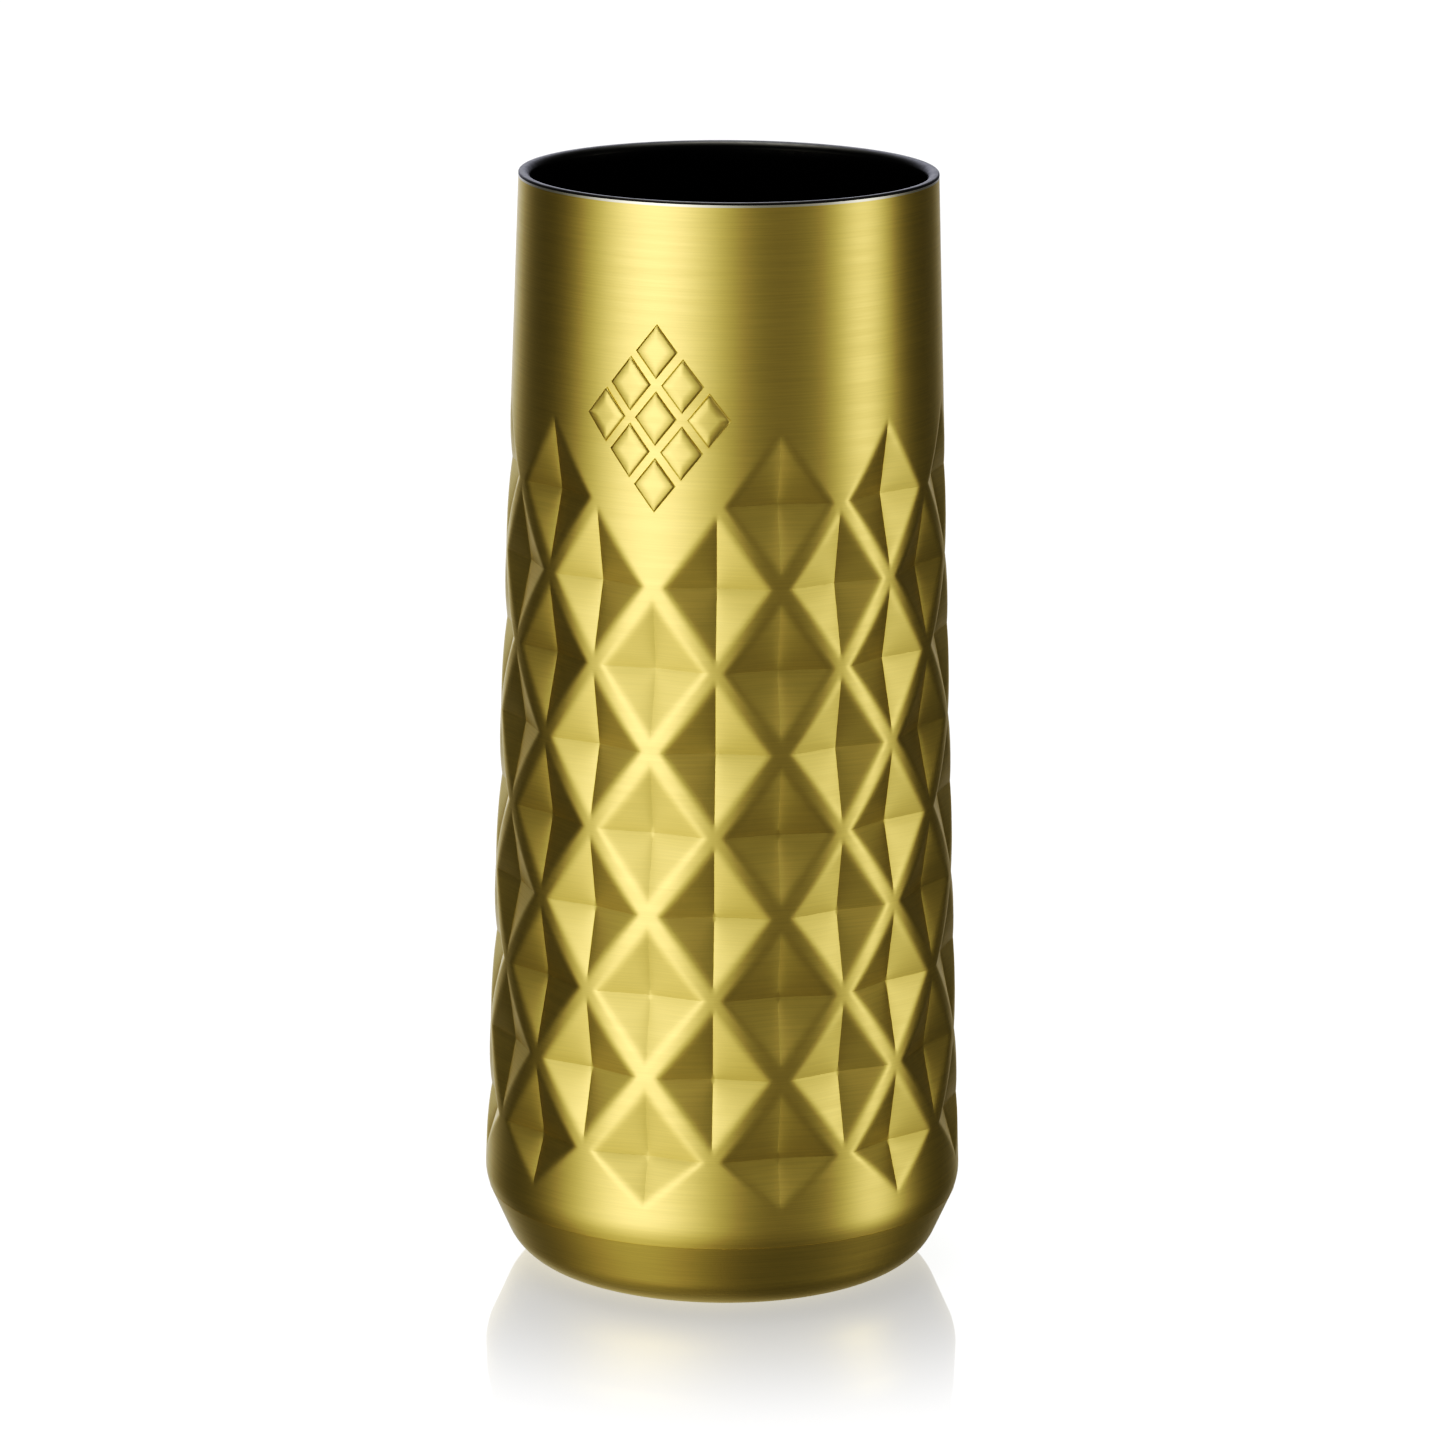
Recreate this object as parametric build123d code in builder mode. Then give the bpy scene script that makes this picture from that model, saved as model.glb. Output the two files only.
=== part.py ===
from build123d import *

import os
from math import cos, radians, sin, sqrt

os.makedirs("parts", exist_ok=True)

# A double-wall insulated tumbler in brushed, gold-coloured steel with a black inside.
# Millimetres, +Z up, origin at the middle of the foot, emblem facing -Y.

# Driving dimensions
sheet = 0.5  # wall of every pressed steel part
lip_top_z = 185.0
shell_top_z = 184.6  # gold shell ends here, black lip starts
rim_r = 34.5  # outside of the shell's top edge
lip_width = 2.0
lip_outer_round = 0.3
lip_inner_round = 0.8
shoulder_r = 40.15  # where cone and turned-in edge would meet if unrounded
shoulder_z = 14.8
shoulder_fillet = 9.5
seam_z = 12.7  # shell above, base cover below
seam_r = 39.5
foot_corner_r = 33.8  # where base cover and table would meet if unrounded
foot_fillet = 9.5

# Dents: a lattice of inverted four-sided pyramids
columns = 11
rows = 9
first_row_z = 136.05
row_pitch = 13.57
dent_depth = 1.8
dent_half_height = 9.9
dent_half_angle = 12.0  # degrees around the axis
last_dent_lower_half = 6.9  # the lowest row is cut short towards the foot
tool_rise = 1.0  # how far a dent's cutting tool stands out of the wall

# Emblem: raised lozenges set in a diamond
emblem_z = 150.0
emblem_side_count = 3
lozenge_half_width = 3.5
lozenge_half_height = 4.4
lozenge_pitch_x = 4.4
lozenge_pitch_z = 5.4
lozenge_raise = 0.35
lozenge_root = 0.3  # how far each lozenge is sunk into the wall

# Inner vessel and the parts in the vacuum space
vessel_floor_z = 17.0  # underside of the inner bottom
vessel_corner = 8.5
vessel_joint_z = 30.0  # weld between inner tube and inner bottom
foil_thickness = 0.1
foil_bottom_z = 32.0
foil_top_z = 165.0
plate_z = 6.6  # underside of the vacuum bottom
plate_r = 31.0
plate_skirt_top_z = 14.1
plate_bend = 2.0
dimple_r = 3.5
dimple_rise = 1.2
vent_r = 0.8
getter_r = 4.0
getter_height = 2.2
getter_offset = 15.0
clip_width = 3.0
clip_foot = 3.0
clip_sheet = 0.3
recess_r = 19.0  # shallow recess in the middle of the foot
recess_depth = 1.2
recess_bend = 0.9

# Values worked out from them
vessel_r = rim_r - lip_width  # inside of the cup
tube_r = vessel_r + sheet
cone_slope = (shoulder_r - rim_r) / (shell_top_z - shoulder_z)
cone_cos = 1 / sqrt(1 + cone_slope**2)
turn_slope = (shoulder_r - seam_r) / (shoulder_z - seam_z)
base_slope = (seam_r - foot_corner_r) / seam_z
column_pitch = 360 / columns


def cone_r(z):
    """Outside radius of the smooth cone at height z."""
    return rim_r + cone_slope * (shell_top_z - z)


def outline_face(points, rounded):
    """Face on the XZ plane through (radius, z) points, with {point: radius} corners rounded."""
    with BuildSketch(Plane.XZ) as outline:
        with BuildLine():
            Polyline(*points, close=True)
        make_face()
        for point, radius in rounded.items():
            fillet(outline.vertices().sort_by_distance((point[0], point[1], 0))[0], radius)
    return outline.sketch


def shell_face(inset):
    """Half section of the solid form inside the shell's wall, moved inwards by inset."""
    wall_shift = inset / cone_cos
    turn_shift = inset * sqrt(1 + turn_slope**2)
    corner_drop = (turn_shift - wall_shift) / (cone_slope + turn_slope)
    corner = (shoulder_r - wall_shift - cone_slope * corner_drop, shoulder_z + corner_drop)
    points = [
        (0, seam_z),
        (seam_r - turn_shift, seam_z),
        corner,
        (rim_r - wall_shift, shell_top_z),
        (0, shell_top_z),
    ]
    return outline_face(points, {corner: shoulder_fillet - inset})


def sheet_face(points, rounded):
    """Half section of a pressed sheet part: its outer line, with the wall on the line's left."""
    with BuildSketch(Plane.XZ) as section:
        with BuildLine() as line:
            Polyline(*points)
            for point, radius in rounded.items():
                fillet(line.vertices().sort_by_distance((point[0], point[1], 0))[0], radius)
            offset(amount=sheet, side=Side.LEFT, kind=Kind.INTERSECTION)
        make_face()
    return section.sketch


def dent_tool(row, inset):
    """Pyramid that cuts one dent of a row on the -Y side, in a wall moved inwards by inset."""
    z = first_row_z - row * row_pitch
    wall_r = cone_r(z)
    half_width = wall_r * sin(radians(dent_half_angle))
    side_rise = dent_depth - wall_r * (1 - cos(radians(dent_half_angle)))
    lower_half = last_dent_lower_half if row == rows - 1 else dent_half_height
    outward = (0, -cone_cos, cone_slope * cone_cos)
    tip = Vector(0, -wall_r, z) - Vector(*outward) * (dent_depth + inset)
    height = dent_depth + tool_rise
    mouth_plane = Plane(origin=tip + Vector(*outward) * height, x_dir=(1, 0, 0), z_dir=outward)
    side = half_width * height / side_rise
    upper = dent_half_height * height / dent_depth
    lower = lower_half * height / dent_depth
    with BuildPart() as tool:
        with BuildSketch(mouth_plane) as mouth:
            Polygon((side, 0), (0, upper), (-side, 0), (0, -lower), align=None)
        loft([mouth.sketch.face(), Vertex(*tip)], ruled=True)
    return tool.part


def dent_locations(row):
    """Turns that carry a row's tool to its dents; the first row leaves room for the emblem."""
    first = 1 if row == 0 else 0
    shift = column_pitch / 2 if row % 2 else 0
    return [Location((0, 0, 0), (0, 0, shift + column_pitch * n)) for n in range(first, columns)]


def emblem_planes():
    """Planes on the wall, one at the middle of each raised lozenge."""
    reach = (emblem_side_count - 1) / 2
    steps = [n - reach for n in range(emblem_side_count)]
    planes = []
    for a in steps:
        for b in steps:
            z = emblem_z + (a + b) * lozenge_pitch_z
            wall_r = cone_r(z)
            angle = (a - b) * lozenge_pitch_x / wall_r
            around = Vector(sin(angle), -cos(angle), 0)
            planes.append(Plane(
                origin=around * (wall_r - lozenge_root) + Vector(0, 0, z),
                x_dir=(cos(angle), sin(angle), 0),
                z_dir=around * cone_cos + Vector(0, 0, cone_slope * cone_cos),
            ))
    return planes


# Cavity inside the shell: the shell's form moved in by the wall, pressed by the same dents
with BuildPart() as shell_cavity:
    revolve(shell_face(sheet), axis=Axis.Z)
    for row in range(rows):
        tool = dent_tool(row, sheet)
        with Locations(*dent_locations(row)):
            add(tool, mode=Mode.SUBTRACT)

# Outer shell: dented cone with the emblem, open at both ends
with BuildPart() as outer_shell:
    revolve(shell_face(0), axis=Axis.Z)
    for row in range(rows):
        tool = dent_tool(row, 0)
        with Locations(*dent_locations(row)):
            add(tool, mode=Mode.SUBTRACT)
    for plane in emblem_planes():
        with BuildSketch(plane):
            Polygon(
                (lozenge_half_width, 0),
                (0, lozenge_half_height),
                (-lozenge_half_width, 0),
                (0, -lozenge_half_height),
                align=None,
            )
        extrude(amount=lozenge_root + lozenge_raise)
    add(shell_cavity.part, mode=Mode.SUBTRACT)
outer_shell.part.label = "outer_shell"

# Inner tube: straight black wall, turned out at the top into the flat lip that covers the shell
lip_outer_corner = (rim_r, lip_top_z)
lip_inner_corner = (vessel_r, lip_top_z)
with BuildPart() as inner_tube:
    tube_outline = [
        (vessel_r, vessel_joint_z),
        (tube_r, vessel_joint_z),
        (tube_r, shell_top_z),
        (rim_r, shell_top_z),
        lip_outer_corner,
        lip_inner_corner,
    ]
    lip_rounds = {lip_outer_corner: lip_outer_round, lip_inner_corner: lip_inner_round}
    revolve(outline_face(tube_outline, lip_rounds), axis=Axis.Z)
inner_tube.part.label = "inner_tube"

# Inner bottom: drawn cap welded to the inner tube
vessel_corner_point = (tube_r, vessel_floor_z)
with BuildPart() as inner_bottom:
    cap_line = [(0, vessel_floor_z), vessel_corner_point, (tube_r, vessel_joint_z)]
    revolve(sheet_face(cap_line, {vessel_corner_point: vessel_corner}), axis=Axis.Z)
inner_bottom.part.label = "inner_bottom"

# Copper foil: wrapped around the inner tube to reflect heat
with BuildPart() as copper_foil:
    with BuildSketch(Plane.XY.offset(foil_bottom_z)):
        Circle(tube_r + foil_thickness)
        Circle(tube_r, mode=Mode.SUBTRACT)
    extrude(amount=foil_top_z - foil_bottom_z)
copper_foil.part.label = "copper_foil"

# Vacuum bottom: dish welded into the shell's lower edge, with the vent in its dimple
skirt_r = seam_r - sheet * sqrt(1 + base_slope**2)
dimple_z = plate_z + dimple_rise
plate_edge = (plate_r, plate_z)
skirt_edge = (skirt_r, seam_z)
with BuildPart() as vacuum_bottom:
    plate_line = [
        (vent_r, dimple_z),
        (dimple_r, dimple_z),
        (dimple_r + dimple_rise, plate_z),
        plate_edge,
        skirt_edge,
        (skirt_r, plate_skirt_top_z),
    ]
    revolve(sheet_face(plate_line, {plate_edge: plate_bend}), axis=Axis.Z)
vacuum_bottom.part.label = "vacuum_bottom"

# Sealing bead: glass melted into the dimple and the vent
with BuildPart() as sealing_bead:
    bead_line = [
        (0, plate_z + sheet / 2),
        (dimple_r - sheet, plate_z + sheet),
        (dimple_r, dimple_z),
        (vent_r, dimple_z),
        (vent_r, dimple_z + sheet),
        (0, dimple_z + sheet),
    ]
    revolve(outline_face(bead_line, {}), axis=Axis.Z)
sealing_bead.part.label = "sealing_bead"

# Getter: pill that takes up stray gas in the vacuum space
plate_top_z = plate_z + sheet
with BuildPart() as getter:
    with BuildSketch(Plane.XY.offset(plate_top_z)):
        with Locations((getter_offset, 0)):
            Circle(getter_r)
    extrude(amount=getter_height)
    chamfer(getter.faces().sort_by(Axis.Z)[-1].edges(), clip_sheet)
getter.part.label = "getter"

# Getter clip: strap over the getter, spot-welded to the vacuum bottom by its two feet
with BuildPart() as getter_clip:
    with BuildSketch(Plane.XZ.offset(-clip_width / 2)):
        with BuildLine():
            Polyline(
                (getter_offset - getter_r - clip_sheet - clip_foot, plate_top_z + clip_sheet),
                (getter_offset - getter_r - clip_sheet, plate_top_z + clip_sheet),
                (getter_offset - getter_r - clip_sheet, plate_top_z + getter_height + clip_sheet),
                (getter_offset + getter_r + clip_sheet, plate_top_z + getter_height + clip_sheet),
                (getter_offset + getter_r + clip_sheet, plate_top_z + clip_sheet),
                (getter_offset + getter_r + clip_sheet + clip_foot, plate_top_z + clip_sheet),
            )
            offset(amount=clip_sheet, side=Side.RIGHT, kind=Kind.INTERSECTION)
        make_face()
    extrude(amount=clip_width)
getter_clip.part.label = "getter_clip"

# Base cover: gold cap below the seam, rounded under to the foot, recessed in the middle
recess_top = (recess_r, recess_depth)
recess_foot = (recess_r + recess_depth, 0)
foot_corner = (foot_corner_r, 0)
past_seam = sheet
with BuildPart() as base_cover:
    cover_line = [
        (0, recess_depth),
        recess_top,
        recess_foot,
        foot_corner,
        (seam_r + base_slope * past_seam, seam_z + past_seam),
    ]
    cover_bends = {recess_top: recess_bend, recess_foot: recess_bend, foot_corner: foot_fillet}
    revolve(sheet_face(cover_line, cover_bends), axis=Axis.Z)
    split(bisect_by=Plane.XY.offset(seam_z), keep=Keep.BOTTOM)
base_cover.part.label = "base_cover"

export_step(outer_shell.part, "parts/outer_shell.step")
export_step(inner_tube.part, "parts/inner_tube.step")
export_step(inner_bottom.part, "parts/inner_bottom.step")
export_step(copper_foil.part, "parts/copper_foil.step")
export_step(vacuum_bottom.part, "parts/vacuum_bottom.step")
export_step(sealing_bead.part, "parts/sealing_bead.step")
export_step(getter.part, "parts/getter.step")
export_step(getter_clip.part, "parts/getter_clip.step")
export_step(base_cover.part, "parts/base_cover.step")
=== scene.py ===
from math import atan, atan2, ceil, cos, degrees, e, pi, radians, sin, tan

import bpy
import numpy as np
from mathutils import Matrix, Vector


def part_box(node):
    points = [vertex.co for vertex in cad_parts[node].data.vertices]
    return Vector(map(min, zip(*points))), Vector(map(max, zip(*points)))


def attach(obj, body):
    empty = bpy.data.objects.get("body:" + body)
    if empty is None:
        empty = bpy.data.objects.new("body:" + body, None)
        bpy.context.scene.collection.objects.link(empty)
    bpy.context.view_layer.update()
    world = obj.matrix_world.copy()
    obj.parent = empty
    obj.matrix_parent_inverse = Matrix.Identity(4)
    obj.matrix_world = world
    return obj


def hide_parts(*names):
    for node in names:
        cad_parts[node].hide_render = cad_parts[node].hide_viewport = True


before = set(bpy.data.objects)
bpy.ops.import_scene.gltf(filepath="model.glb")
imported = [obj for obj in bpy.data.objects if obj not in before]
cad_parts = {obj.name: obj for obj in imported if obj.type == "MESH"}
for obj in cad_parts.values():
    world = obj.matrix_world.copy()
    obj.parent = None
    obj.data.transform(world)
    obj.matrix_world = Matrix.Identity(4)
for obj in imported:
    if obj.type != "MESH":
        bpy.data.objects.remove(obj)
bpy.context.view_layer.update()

# A gold insulated tumbler with a lattice of pressed dents. Shapes are in millimetres and become
# metres when a mesh is made. Angles around the axis start at -Y, the emblem's side, and grow
# towards +X.
MM = 0.001
tiny = 1e-6  # takes up rounding errors

# ---------------------------------------------------------------- sizes

# The boxes of the CAD pieces give the heights and the rim; the other sizes down to the slopes are
# the same numbers as in the CAD model.
shell_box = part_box("outer_shell")
tube_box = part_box("inner_tube")
floor_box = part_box("inner_bottom")
seam_z = shell_box[0].z / MM
shell_top_z = shell_box[1].z / MM
lip_top_z = tube_box[1].z / MM
rim_r = tube_box[1].x / MM
vessel_joint_z = tube_box[0].z / MM
vessel_floor_z = floor_box[0].z / MM

sheet = 0.5  # thickness of the walls
lip_width = 2.0
lip_outer_round = 0.3
shoulder_r = 40.15
shoulder_z = 14.8
shoulder_fillet = 9.5
seam_r = 39.5
foot_corner_r = 33.8
foot_fillet = 9.5
recess_r = 19.0
recess_depth = 1.2
recess_bend = 0.9
vessel_corner = 8.5

columns = 11
rows = 9
first_row_z = 136.05
row_pitch = 13.57
half_column = pi / columns

emblem_z = 150.0
emblem_side_count = 3
lozenge_half_width = 3.5
lozenge_half_height = 4.4
lozenge_pitch_x = 4.4
lozenge_pitch_z = 5.4
lozenge_raise = 0.35
lozenge_root = 0.3  # how far a lozenge reaches into the wall

cone_slope = (shoulder_r - rim_r) / (shell_top_z - shoulder_z)
turn_slope = (shoulder_r - seam_r) / (shoulder_z - seam_z)
cone_lean = atan(cone_slope)
turn_lean = atan(turn_slope)

# Sizes of the visual meshes only. The CAD's dents have plane facets and corners set further in, and
# are 0.2 shallower. Its lip is rounded by 0.8, and its lozenges are plain prisms.
dent_depth = 2.0
dent_reach = 0.845  # share of the lattice cell that a dent takes; the rest is strap
last_row_squeeze = 0.70  # lower half of the lowest dents, as a share of the others
lip_inner_round = 1.3
strap_round = 0.25  # how far the straps' edges are rounded off
wall_ease = 0.03  # the wall stays this far within the CAD's outline
lining_ring = 5.0  # ring of points this far under the lip, which keeps the wall's shading straight
lozenge_crown = 0.03
# Rings of a lozenge from its root to its face: share of its full size, height over the wall.
lozenge_rings = (
    (1.0, -lozenge_root),
    (1.0, 0.12),
    (0.94, 0.26),
    (0.86, lozenge_raise),
    (0.4, lozenge_raise + lozenge_crown),
)

# Fineness of the meshes: steps, and the bends above which an edge stays crisp.
wall_steps = 18  # across a lattice cell, on the outside of the wall
back_steps = 6  # the same on its inside; wall_steps is a multiple of it
hem_rings = 4  # rings of points from the lattice down to the seam
crowding = 0.35  # how much closer the steps lie at the creases
turn_segments = 288
bend_steps = 14
lip_steps = 8
lozenge_side_steps = 8
wall_crease = radians(12)
turned_crease = radians(40)
lozenge_crease = radians(50)

# ---------------------------------------------------------------- mesh helpers


def mesh_object(name, points, faces, crease):
    """Object from points in millimetres, shaded smooth except at edges that bend more than the crease."""
    mesh = bpy.data.meshes.new(name)
    mesh.from_pydata((np.asarray(points, float) * MM).tolist(), [], faces)
    mesh.validate()
    mesh.shade_smooth()
    mesh.set_sharp_from_angle(angle=crease)
    piece = bpy.data.objects.new(name, mesh)
    bpy.context.scene.collection.objects.link(piece)
    return piece


def rounded_path(points, radii, steps):
    """Polyline through (r, z) points with the corners listed in radii {index: radius} made round."""
    path = []
    for index, point in enumerate(points):
        here = Vector(point)
        if index not in radii:
            path.append(here)
            continue
        back = (Vector(points[index - 1]) - here).normalized()
        on = (Vector(points[index + 1]) - here).normalized()
        half = back.angle(on) / 2
        centre = here + (back + on).normalized() * (radii[index] / sin(half))
        start = here + back * (radii[index] / tan(half)) - centre
        end = here + on * (radii[index] / tan(half)) - centre
        turn = atan2(start.cross(end), start.dot(end))
        for n in range(steps + 1):
            angle = turn * n / steps
            path.append(centre + Vector((
                start.x * cos(angle) - start.y * sin(angle),
                start.x * sin(angle) + start.y * cos(angle),
            )))
    return path


def sheet_loop(path, thickness):
    """Closed section of a sheet: the path and, on its left, the same path moved by the thickness."""
    other = []
    for index, point in enumerate(path):
        before = path[max(index - 1, 0)]
        after = path[min(index + 1, len(path) - 1)]
        first = (point - before).normalized() if index > 0 else (after - point).normalized()
        last = (after - point).normalized() if index < len(path) - 1 else first
        left = Vector((-(first.y + last.y), first.x + last.x)) / (1 + first.dot(last))
        other.append(point + left * thickness)
    return path + other[::-1]


def lathe(name, loop):
    """Closed solid of revolution from a closed (r, z) loop; points on the axis become one vertex."""
    points, rings = [], []
    turns = [2 * pi * n / turn_segments for n in range(turn_segments)]
    for r, z in loop:
        if r < tiny:
            rings.append([len(points)] * turn_segments)
            points.append((0, 0, z))
        else:
            rings.append(list(range(len(points), len(points) + turn_segments)))
            points += [(r * sin(a), -r * cos(a), z) for a in turns]
    faces = []
    for ring, following in zip(rings, rings[1:] + rings[:1]):
        for n in range(turn_segments):
            m = (n + 1) % turn_segments
            corners = [ring[n], ring[m], following[m], following[n]]
            face = [c for i, c in enumerate(corners) if c != corners[i - 1]]
            if len(face) > 2:
                faces.append(face)
    return mesh_object(name, points, faces, turned_crease)


# ---------------------------------------------------------------- outer shell


def wall_r(z):
    """Outside radius of the shell at height z, dents left out: cone, rounded shoulder, turned-in edge."""
    cone_out = np.array([cos(cone_lean), sin(cone_lean)])
    turn_out = np.array([cos(turn_lean), -sin(turn_lean)])
    reach = shoulder_fillet / (1 + cone_out @ turn_out)
    centre = np.array([shoulder_r, shoulder_z]) - reach * (cone_out + turn_out)
    high = centre[1] + shoulder_fillet * cone_out[1]
    low = centre[1] + shoulder_fillet * turn_out[1]
    across = np.sqrt(np.maximum(shoulder_fillet**2 - (z - centre[1]) ** 2, 0))
    cone = shoulder_r + cone_slope * (shoulder_z - z)
    turned = shoulder_r - turn_slope * (shoulder_z - z)
    return np.where(z > high, cone, np.where(z < low, turned, centre[0] + across)) - wall_ease


def nearest_dent(u, v):
    """Lattice point with an even sum nearest to (u, v), in half columns and rows."""
    column, row = np.round(u), np.round(v)
    odd = (column + row) % 2 == 1
    move_column = odd & (abs(u - column) > abs(v - row))
    column = np.where(move_column, column + np.where(u > column, 1, -1), column)
    row = np.where(odd & ~move_column, row + np.where(v > row, 1, -1), row)
    return column, row


def dent_offset(u, v):
    """How far the wall is pressed in (negative) at lattice place (u, v).

    Each dent has four facets that run straight from its tip to the edges of a diamond on the wall.
    The share is the way from the tip to the edge, and the gap is the facet's distance from the wall.
    """
    column, row = nearest_dent(u, v)
    on_emblem = (row == 0) & (column % (2 * columns) == 0)
    pressed = (row >= 0) & (row < rows) & ~on_emblem
    squeeze = np.where((row == rows - 1) & (v > row), last_row_squeeze, 1.0)
    du = u - column
    dv = (v - row) / squeeze
    s = np.maximum(abs(du) + abs(dv), tiny)
    share = s / dent_reach
    tip_z = first_row_z - row * row_pitch
    tip_r = wall_r(tip_z) - dent_depth
    edge_angle = du / s * dent_reach * half_column
    edge_z = tip_z - dv / s * dent_reach * squeeze * row_pitch
    edge_r = wall_r(edge_z)
    forward = tip_r + (edge_r * np.cos(edge_angle) - tip_r) * share
    sideways = edge_r * np.sin(edge_angle) * share
    height = tip_z + (edge_z - tip_z) * share
    gap = np.hypot(forward, sideways) - wall_r(height)
    soft = np.maximum(strap_round - abs(gap), 0) ** 2 / (4 * strap_round)
    return np.where(pressed, np.minimum(gap, 0) - soft, 0.0)


def cell_steps(count):
    """Places from 0 to 1 across one lattice cell, closer together at the creases."""
    n = np.arange(count) / count
    return (1 - crowding) * n + crowding * (1 - np.cos(pi * n)) / 2


def shell_grid(per_cell, inset):
    """Points of the shell's wall, moved in by inset, and their lattice places u and v."""
    steps = cell_steps(per_cell)
    around = np.concatenate([n + steps for n in range(2 * columns)])
    lattice = np.concatenate([n + steps for n in range(-1, rows)])
    top_v = (first_row_z - shell_top_z) / row_pitch
    bottom_v = (first_row_z - seam_z) / row_pitch
    above = np.linspace(top_v, -1, per_cell, endpoint=False)
    below = np.linspace(rows, bottom_v, hem_rings)
    v, u = np.meshgrid(np.concatenate([above, lattice, below]), around, indexing="ij")
    z = first_row_z - v * row_pitch
    r = wall_r(z) + dent_offset(u, v) - inset
    angle = u * half_column
    return np.stack([r * np.sin(angle), -r * np.cos(angle), z], -1), u, v


def grid_faces(u, v, start, flip):
    """Triangles of a grid of points, cut along the straps, wrapping around the body."""
    height, width = u.shape
    faces = []
    for j in range(height - 1):
        for i in range(width):
            k = (i + 1) % width
            a, b = start + j * width + i, start + j * width + k
            d, c = a + width, b + width
            even = (np.floor(u[j, i] + tiny) + np.floor(v[j, i] + tiny)) % 2 == 0
            pair = [(a, d, b), (b, d, c)] if even else [(a, d, c), (a, c, b)]
            faces += [t[::-1] for t in pair] if flip else pair
    return faces


def bridge(many, few, flip):
    """Triangles between two closed rings, the first with a whole multiple of the second's points."""
    ratio = len(many) // len(few)
    faces = []
    for n, corner in enumerate(few):
        following = few[(n + 1) % len(few)]
        for m in range(ratio):
            a, b = many[n * ratio + m], many[(n * ratio + m + 1) % len(many)]
            faces.append((a, corner, b) if m < ratio / 2 else (a, following, b))
        half = many[n * ratio + ceil(ratio / 2)]
        faces.append((corner, following, half))
    return [f[::-1] for f in faces] if flip else faces


def build_outer_shell():
    """The dented wall with its thickness: a fine outer side and a coarser inner side."""
    outer, outer_u, outer_v = shell_grid(wall_steps, 0)
    inner, inner_u, inner_v = shell_grid(back_steps, sheet)
    points = np.concatenate([outer.reshape(-1, 3), inner.reshape(-1, 3)])
    start = outer.shape[0] * outer.shape[1]
    faces = grid_faces(outer_u, outer_v, 0, False) + grid_faces(inner_u, inner_v, start, True)
    outer_width, inner_width = outer.shape[1], inner.shape[1]
    faces += bridge(list(range(outer_width)), list(range(start, start + inner_width)), True)
    last_outer = list(range(start - outer_width, start))
    last_inner = list(range(len(points) - inner_width, len(points)))
    faces += bridge(last_outer, last_inner, False)
    return mesh_object("gold_shell", points, faces, wall_crease)


def lozenge_outline():
    """Corners of a diamond of half width and half height 1, with points along its sides."""
    outline = []
    for n in range(4):
        a, b = n * pi / 2, (n + 1) * pi / 2
        for m in range(lozenge_side_steps):
            t = m / lozenge_side_steps
            outline.append((cos(a) * (1 - t) + cos(b) * t, sin(a) * (1 - t) + sin(b) * t))
    return outline


def build_emblem():
    """Raised lozenges set in a diamond, each with a bevelled edge and a slightly crowned face."""
    outline = lozenge_outline()
    count = len(outline)
    points, faces = [], []
    for a in range(emblem_side_count):
        for b in range(emblem_side_count):
            middle_z = emblem_z + (a + b - emblem_side_count + 1) * lozenge_pitch_z
            middle_x = (a - b) * lozenge_pitch_x
            start = len(points)
            for share, lift in lozenge_rings:
                for x, y in outline:
                    z = middle_z + y * share * lozenge_half_height
                    r = float(wall_r(z))
                    angle = (middle_x + x * share * lozenge_half_width) / r
                    points.append(((r + lift) * sin(angle), -(r + lift) * cos(angle), z))
            for low in range(start, len(points) - count, count):
                for n in range(count):
                    m = (n + 1) % count
                    faces.append((low + n, low + m, low + count + m, low + count + n))
            faces.append([start + n for n in reversed(range(count))])
            faces.append([len(points) - count + n for n in range(count)])
    return mesh_object("emblem_lozenges", points, faces, lozenge_crease)


# ---------------------------------------------------------------- turned parts


def build_base_cover():
    """Cap below the seam, rounded under to the foot, with a turned-up recess in its middle."""
    points = [
        (0, recess_depth),
        (recess_r, recess_depth),
        (recess_r + recess_depth, 0),
        (foot_corner_r, 0),
        (seam_r, seam_z),
    ]
    path = rounded_path(points, {1: recess_bend, 2: recess_bend, 3: foot_fillet}, bend_steps)
    loop = [(r, min(z, seam_z)) for r, z in sheet_loop(path, sheet)]
    return lathe("gold_base", loop)


def build_lining_tube():
    """Inner wall, turned outwards at the top to the flat lip over the shell's edge."""
    vessel_r = rim_r - lip_width
    tube_r = vessel_r + sheet
    points = [
        (vessel_r, vessel_joint_z),
        (tube_r, vessel_joint_z),
        (tube_r, shell_top_z),
        (rim_r, shell_top_z),
        (rim_r, lip_top_z),
        (vessel_r, lip_top_z),
        (vessel_r, lip_top_z - lining_ring),
    ]
    loop = rounded_path(points, {4: lip_outer_round, 5: lip_inner_round}, lip_steps)
    return lathe("black_lining_tube", loop)


def build_lining_bottom():
    """Floor of the cup, with a rounded corner up to the inner wall."""
    tube_r = rim_r - lip_width + sheet
    points = [(0, vessel_floor_z), (tube_r, vessel_floor_z), (tube_r, vessel_joint_z)]
    path = rounded_path(points, {1: vessel_corner}, bend_steps)
    return lathe("black_lining_bottom", sheet_loop(path, sheet))


# ---------------------------------------------------------------- node trees

noise_range = (0.3, 0.7)  # where most values of a noise lie


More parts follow.
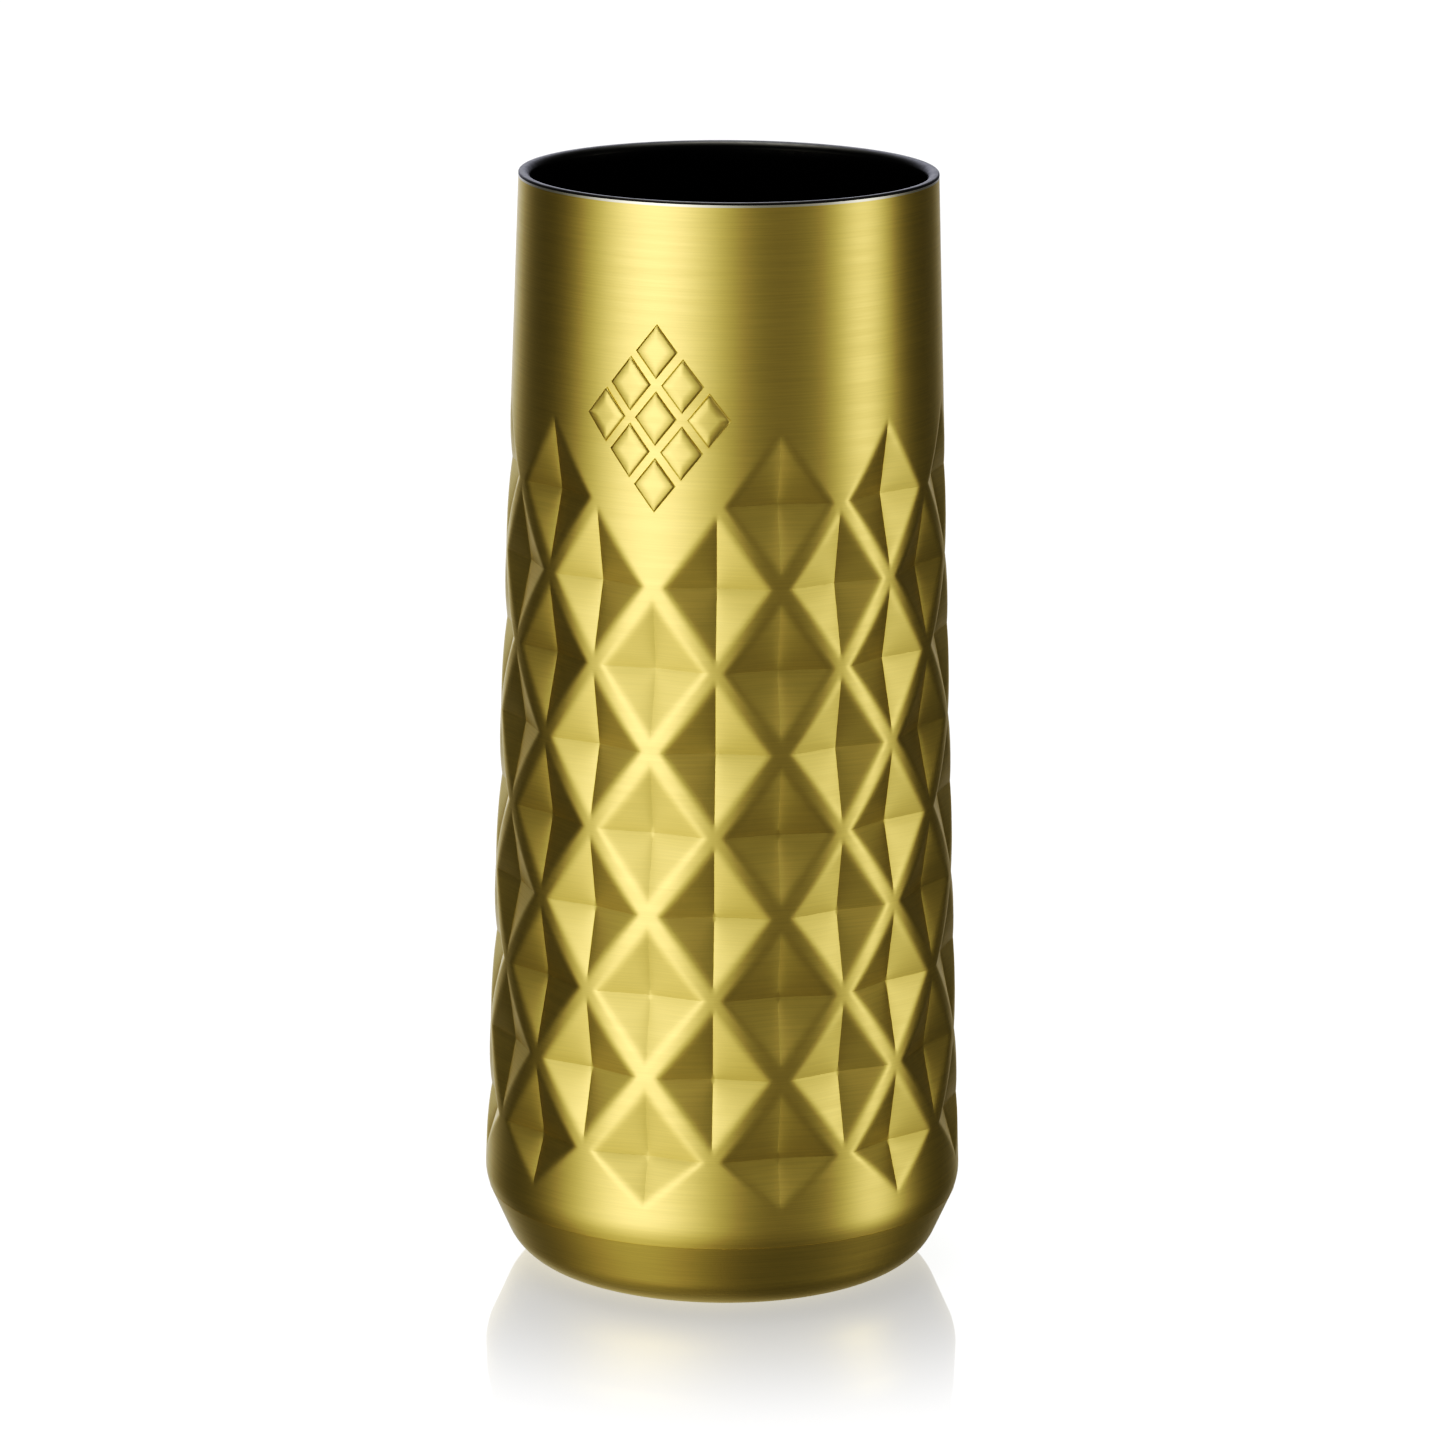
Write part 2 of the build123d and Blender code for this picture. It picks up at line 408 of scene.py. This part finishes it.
class Tree:
    """Short calls for building the node tree of a material or a world."""

    def __init__(self, owner):
        owner.use_nodes = True
        self.nodes = owner.node_tree.nodes
        self.links = owner.node_tree.links

    def feed(self, socket, value):
        """Link a socket to another one, or set its number or colour; None leaves it as it is."""
        if isinstance(value, bpy.types.NodeSocket):
            self.links.new(value, socket)
        elif value is not None:
            socket.default_value = value

    def add(self, kind, *inputs, **settings):
        """New node with its settings and its first inputs given."""
        node = self.nodes.new("ShaderNode" + kind)
        for key, value in settings.items():
            setattr(node, key, value)
        for socket, value in zip(node.inputs, inputs):
            self.feed(socket, value)
        return node

    def math(self, operation, *inputs):
        """Result of a Math node."""
        return self.add("Math", *inputs, operation=operation).outputs[0]

    def ramp(self, value, low, high, to_low, to_high):
        """The value's way from low to high, eased, as a way from to_low to to_high."""
        node = self.add("MapRange", value, low, high, to_low, to_high, interpolation_type="SMOOTHSTEP")
        return node.outputs["Result"]

    def mix(self, factor, a, b):
        """Colour from a to b; each is a colour of three numbers or a socket."""
        node = self.add("Mix", factor, data_type="RGBA")
        for key, value in (("A", a), ("B", b)):
            self.feed(node.inputs[key], (*value, 1) if isinstance(value, tuple) else value)
        return next(socket for socket in node.outputs if socket.enabled)

    def vary(self, noise, low, high):
        """The noise's usual range, with the rest cut off, as a way from low to high."""
        return self.ramp(noise, *noise_range, low, high)

    def noise(self, size, stretch=(1, 1, 1), detail=2.0):
        """Noise with features of this size in millimetres, along each axis as many times finer."""
        point = self.add("TexCoord").outputs["Object"]
        mapping = self.add("Mapping", point, None, None, stretch).outputs[0]
        texture = self.add("TexNoise", mapping)
        texture.inputs["Scale"].default_value = 1 / (size * MM)
        texture.inputs["Detail"].default_value = detail
        return texture.outputs["Fac"]


class Surface(Tree):
    """Material with one Principled shader."""

    def __init__(self, name, **values):
        self.material = bpy.data.materials.new(name)
        super().__init__(self.material)
        self.shader = self.nodes["Principled BSDF"]
        for key, value in values.items():
            self.drive(key, value)

    def drive(self, key, value):
        """Set or link a shader input, named with underscores; colours have three numbers."""
        value = (*value, 1) if isinstance(value, tuple) else value
        self.feed(self.shader.inputs[key.replace("_", " ")], value)

    def above(self, low, high):
        """From 0 at the height low to 1 at the height high, in millimetres."""
        height = self.add("SeparateXYZ", self.add("TexCoord").outputs["Object"]).outputs["Z"]
        return self.ramp(height, low * MM, high * MM, 0, 1)

    def bump(self, height, distance):
        """Relief from a height of 0 to 1; the distance is in millimetres."""
        node = self.add("Bump")
        node.inputs["Distance"].default_value = distance * MM
        self.feed(node.inputs["Height"], height)
        self.drive("Normal", node.outputs["Normal"])


# ---------------------------------------------------------------- materials

gold_colour = (0.90, 0.729, 0.25)
streak_shades = (0.965, 1.03)  # darkest and lightest streaks of the brushing
# pale colour painted along the shell's upper edge as a highlight
painted_highlight_colour = (0.96, 0.93, 0.78)
painted_highlight_height = 0.4  # height of the painted highlight, a pale line along the shell's upper edge
painted_highlight_blur = 0.15  # share of that height over which the line fades
gloss_roughness = 0.15
satin_roughness = 0.40
satin_depth = 3.0  # from the lip's top down to where the coating is glossy


def shade(colour, factor):
    """The colour with its brightness multiplied."""
    return tuple(factor * c for c in colour)


def brushed_gold():
    """Gold-coloured steel brushed around the body, with a painted highlight: a pale line of colour along
    its upper edge.
    """
    m = Surface("brushed_gold", Metallic=1.0, Anisotropic=0.6, Anisotropic_Rotation=0.25)
    m.drive("Tangent", m.add("Tangent", direction_type="RADIAL", axis="Z").outputs["Tangent"])
    fine = m.vary(m.noise(12, (1, 1, 56), 3), 0, 1)
    broad = m.vary(m.noise(60, (1, 1, 60)), 0.398, 0.422)
    streaks = m.mix(fine, *(shade(gold_colour, factor) for factor in streak_shades))
    # Painted highlight: the base colour turns pale in a band along the shell's upper edge.
    line_start, line_full = (shell_top_z - (1 + way * painted_highlight_blur) * painted_highlight_height for way in (1, -1))
    painted_highlight = m.above(line_start, line_full)
    m.drive("Base_Color", m.mix(painted_highlight, streaks, painted_highlight_colour))
    m.drive("Roughness", broad)
    m.bump(fine, 0.0007)
    return m.material


def gloss_black():
    """Black glossy coating with faint waviness."""
    m = Surface("gloss_black", Base_Color=(0.006, 0.006, 0.006))
    m.drive("Roughness", m.vary(m.noise(2.5), 0.1, 0.16))
    m.bump(m.noise(8), 0.02)
    return m.material


def lip_black():
    """Black coating of the tube, glossy inside and satin on the lip."""
    m = Surface("lip_black", Specular_IOR_Level=0.4, Specular_Tint=(1.0, 0.97, 0.85))
    on_lip = m.above(lip_top_z - satin_depth, lip_top_z)
    cloud = m.vary(m.noise(1.5), -0.03, 0.03)
    m.drive("Base_Color", m.mix(on_lip, (0.006, 0.006, 0.006), (0.014, 0.014, 0.013)))
    satin = m.math("MULTIPLY_ADD", on_lip, satin_roughness - gloss_roughness, gloss_roughness)
    m.drive("Roughness", m.math("ADD", cloud, satin))
    m.bump(m.noise(8), 0.02)
    return m.material


def foil_copper():
    """Thin copper foil with crinkles and darker, oxidised patches."""
    m = Surface("foil_copper", Metallic=1.0)
    patches = m.ramp(m.noise(18, detail=4), 0.35, 0.65, 0, 1)
    m.drive("Base_Color", m.mix(patches, (0.72, 0.33, 0.20), (0.91, 0.48, 0.32)))
    m.drive("Roughness", m.vary(m.noise(5), 0.22, 0.34))
    m.bump(m.noise(4, (1, 1, 0.6), 3), 0.08)
    return m.material


def plain_steel(name, dark, light):
    """Unpolished stainless steel with fine grain around the axis."""
    m = Surface(name, Metallic=1.0)
    grain = m.vary(m.noise(3, (1, 1, 12), 3), 0, 1)
    m.drive("Base_Color", m.mix(grain, dark, light))
    m.drive("Roughness", m.vary(m.noise(6), 0.28, 0.42))
    m.bump(grain, 0.004)
    return m.material


def sealing_glass():
    """Glass solder melted in a bead: grey-green, glossy, with faint clouds."""
    m = Surface("sealing_glass", IOR=1.52)
    cloud = m.vary(m.noise(1.2, detail=3), 0, 1)
    m.drive("Base_Color", m.mix(cloud, (0.14, 0.16, 0.14), (0.24, 0.26, 0.23)))
    m.drive("Roughness", m.vary(m.noise(0.8), 0.08, 0.2))
    m.bump(m.noise(1.5), 0.03)
    return m.material


def pressed_powder():
    """Gas-absorbing pellet of pressed metal powder: dark, rough and grainy."""
    m = Surface("pressed_powder", Metallic=0.6)
    grains = m.vary(m.noise(0.25, detail=3), 0, 1)
    m.drive("Base_Color", m.mix(grains, (0.10, 0.10, 0.11), (0.22, 0.21, 0.20)))
    m.drive("Roughness", m.vary(m.noise(1), 0.7, 0.9))
    m.bump(grains, 0.04)
    return m.material


# ---------------------------------------------------------------- camera

camera_distance = 1.0600  # from the tumbler's axis, in metres
camera_height = 0.3453  # above the floor, in metres
camera_azimuth = radians(18.80)
camera_pitch = radians(13.441)
camera_roll = radians(0.39)
camera_yaw = radians(0.024)
camera_lens = 162.45


def add_camera():
    """Camera at the photograph's viewing angle, turned around the tumbler's axis by the azimuth."""
    camera = bpy.data.cameras.new("camera")
    camera.lens = camera_lens
    holder = bpy.data.objects.new("camera", camera)
    bpy.context.scene.collection.objects.link(holder)
    forward = Vector((0, cos(camera_pitch), -sin(camera_pitch)))
    up = Vector((0, sin(camera_pitch), cos(camera_pitch)))
    right = Vector((1, 0, 0))
    turn = Matrix.Rotation(camera_azimuth, 3, "Z")
    tilt = turn @ Matrix.Rotation(camera_yaw, 3, "Z") @ Matrix.Rotation(-camera_roll, 3, forward)
    matrix = Matrix([tilt @ axis for axis in (right, up, -forward)]).transposed().to_4x4()
    matrix.translation = turn @ Vector((0, -camera_distance, camera_height))
    holder.matrix_world = matrix
    bpy.context.scene.camera = holder


# ---------------------------------------------------------------- light and floor

# Soft light patches of the surroundings, brightest in the middle, in degrees: azimuth from the camera
# (positive to the right), its half width, elevation, its half height; then the light's colour.
light_patches = (
    (-39, 30.5, -4.5, 16, (2.72, 2.72, 2.72)),  # key on the left
    (78, 13, -6, 19, (1.75, 1.75, 1.75)),  # strip on the right
    (-174, 24, 40, 80, (1.32, 1.34, 1.55)),  # wall behind
    (-135, 123, 74, 12, (8.2, 8.2, 8.2)),  # overhead
    (60, 40, 4, 57, (0.16, 0.16, 0.16)),  # faint fill on the right
    (-44, 44, -43, 15, (0.59, 0.55, 0.44)),  # warm bounce from below on the left
)
ambient = 0.052

# Contrast of the picture: (scene brightness, shown brightness), both linear.
combined_curve = 3  # after the curves for red, green and blue
tone_points = ((0.022, 0.004), (0.068, 0.03), (0.182, 0.16), (0.279, 0.30), (0.50, 0.55))


def build_world():
    """Surroundings lit by the soft patches; seen directly they are plain white."""
    world = bpy.data.worlds.new("studio")
    bpy.context.scene.world = world
    w = Tree(world)
    axes = w.add("SeparateXYZ", w.add("TexCoord").outputs["Generated"]).outputs
    turn = w.math("ARCTAN2", axes["X"], w.math("MULTIPLY", axes["Y"], -1.0))
    azimuth = w.math("MULTIPLY", turn, degrees(1))
    elevation = w.math("MULTIPLY", w.math("ARCSINE", axes["Z"]), degrees(1))
    total = (ambient, ambient, ambient)
    for middle, half_width, height, half_height, strength in light_patches:
        away = w.math("SUBTRACT", azimuth, middle + degrees(camera_azimuth))
        away = w.math("DIVIDE", w.math("WRAP", away, 180.0, -180.0), half_width)
        rise = w.math("DIVIDE", w.math("SUBTRACT", elevation, height), half_height)
        square = w.math("ADD", w.math("MULTIPLY", away, away), w.math("MULTIPLY", rise, rise))
        glow = w.math("POWER", 1 / e, square)
        total = w.add("VectorMath", glow, strength, total, operation="MULTIPLY_ADD").outputs[0]
    seen = w.add("LightPath").outputs["Is Camera Ray"]
    shown = w.add("VectorMath", total, seen, operation="MAXIMUM").outputs[0]
    w.feed(w.nodes["Background"].inputs["Color"], shown)


floor_half = 6.0  # metres
mirror_near = 34.0  # the floor mirrors the tumbler from here, in millimetres from its axis ...
mirror_far = 100.0  # ... fading to plain white here
mirror_share = 0.45
mirror_tint = (0.97, 0.965, 0.82, 1)
mirror_roughness = 0.02
white = (1, 1, 1, 1)
table_grey = (0.26, 0.26, 0.26, 1)  # the table's matt surface, lit from above
table_glow = 0.78  # the lit table's own light, next to 1 for white


def build_floor():
    """Large plain white light table, glossy around the tumbler. The metal doesn't mirror it."""
    mesh = bpy.data.meshes.new("floor")
    corners = [(x * floor_half, y * floor_half, 0) for x, y in ((-1, -1), (1, -1), (1, 1), (-1, 1))]
    mesh.from_pydata(corners, [], [(0, 1, 2, 3)])
    floor = bpy.data.objects.new("floor", mesh)
    bpy.context.scene.collection.objects.link(floor)
    material = bpy.data.materials.new("pale_floor")
    m = Tree(material)
    mesh.materials.append(material)
    point = m.add("TexCoord").outputs["Object"]
    reach = m.add("VectorMath", point, operation="LENGTH").outputs["Value"]
    fade = m.ramp(reach, mirror_near * MM, mirror_far * MM, mirror_share, 0.0)
    matt = m.add("BsdfDiffuse", table_grey).outputs[0]
    glow = m.add("Emission", white, table_glow).outputs[0]
    plain = m.add("AddShader", matt, glow).outputs[0]
    mirror = m.add("BsdfGlossy", mirror_tint, mirror_roughness).outputs[0]
    both = m.add("MixShader", fade, plain, mirror).outputs[0]
    m.feed(m.nodes["Material Output"].inputs["Surface"], both)
    floor.visible_glossy = False
    floor.visible_shadow = False


def set_tone():
    """Standard view with the picture's tone curve."""
    view = bpy.context.scene.view_settings
    view.view_transform = "Standard"
    view.use_curve_mapping = True
    view.curve_mapping.initialize()
    for scene_value, shown_value in tone_points:
        view.curve_mapping.curves[combined_curve].points.new(scene_value, shown_value)
    view.curve_mapping.update()


# ---------------------------------------------------------------- assembly


def place(piece, material, node=None):
    """Give the piece its material and body, and hide the CAD node that it stands in for, if any."""
    piece.data.materials.append(material)
    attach(piece, "root")
    if node:
        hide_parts(node)


gold = brushed_gold()
place(build_outer_shell(), gold, "outer_shell")
place(build_emblem(), gold)
place(build_base_cover(), gold, "base_cover")
place(build_lining_tube(), lip_black(), "inner_tube")
place(build_lining_bottom(), gloss_black(), "inner_bottom")

hidden_materials = {
    "copper_foil": foil_copper(),
    "vacuum_bottom": plain_steel("bottom_steel", (0.48, 0.47, 0.46), (0.62, 0.61, 0.60)),
    "sealing_bead": sealing_glass(),
    "getter": pressed_powder(),
    "getter_clip": plain_steel("clip_steel", (0.55, 0.55, 0.56), (0.68, 0.68, 0.69)),
}
for node, material in hidden_materials.items():
    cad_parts[node].material_slots[0].material = material

add_camera()
build_world()
build_floor()
set_tone()
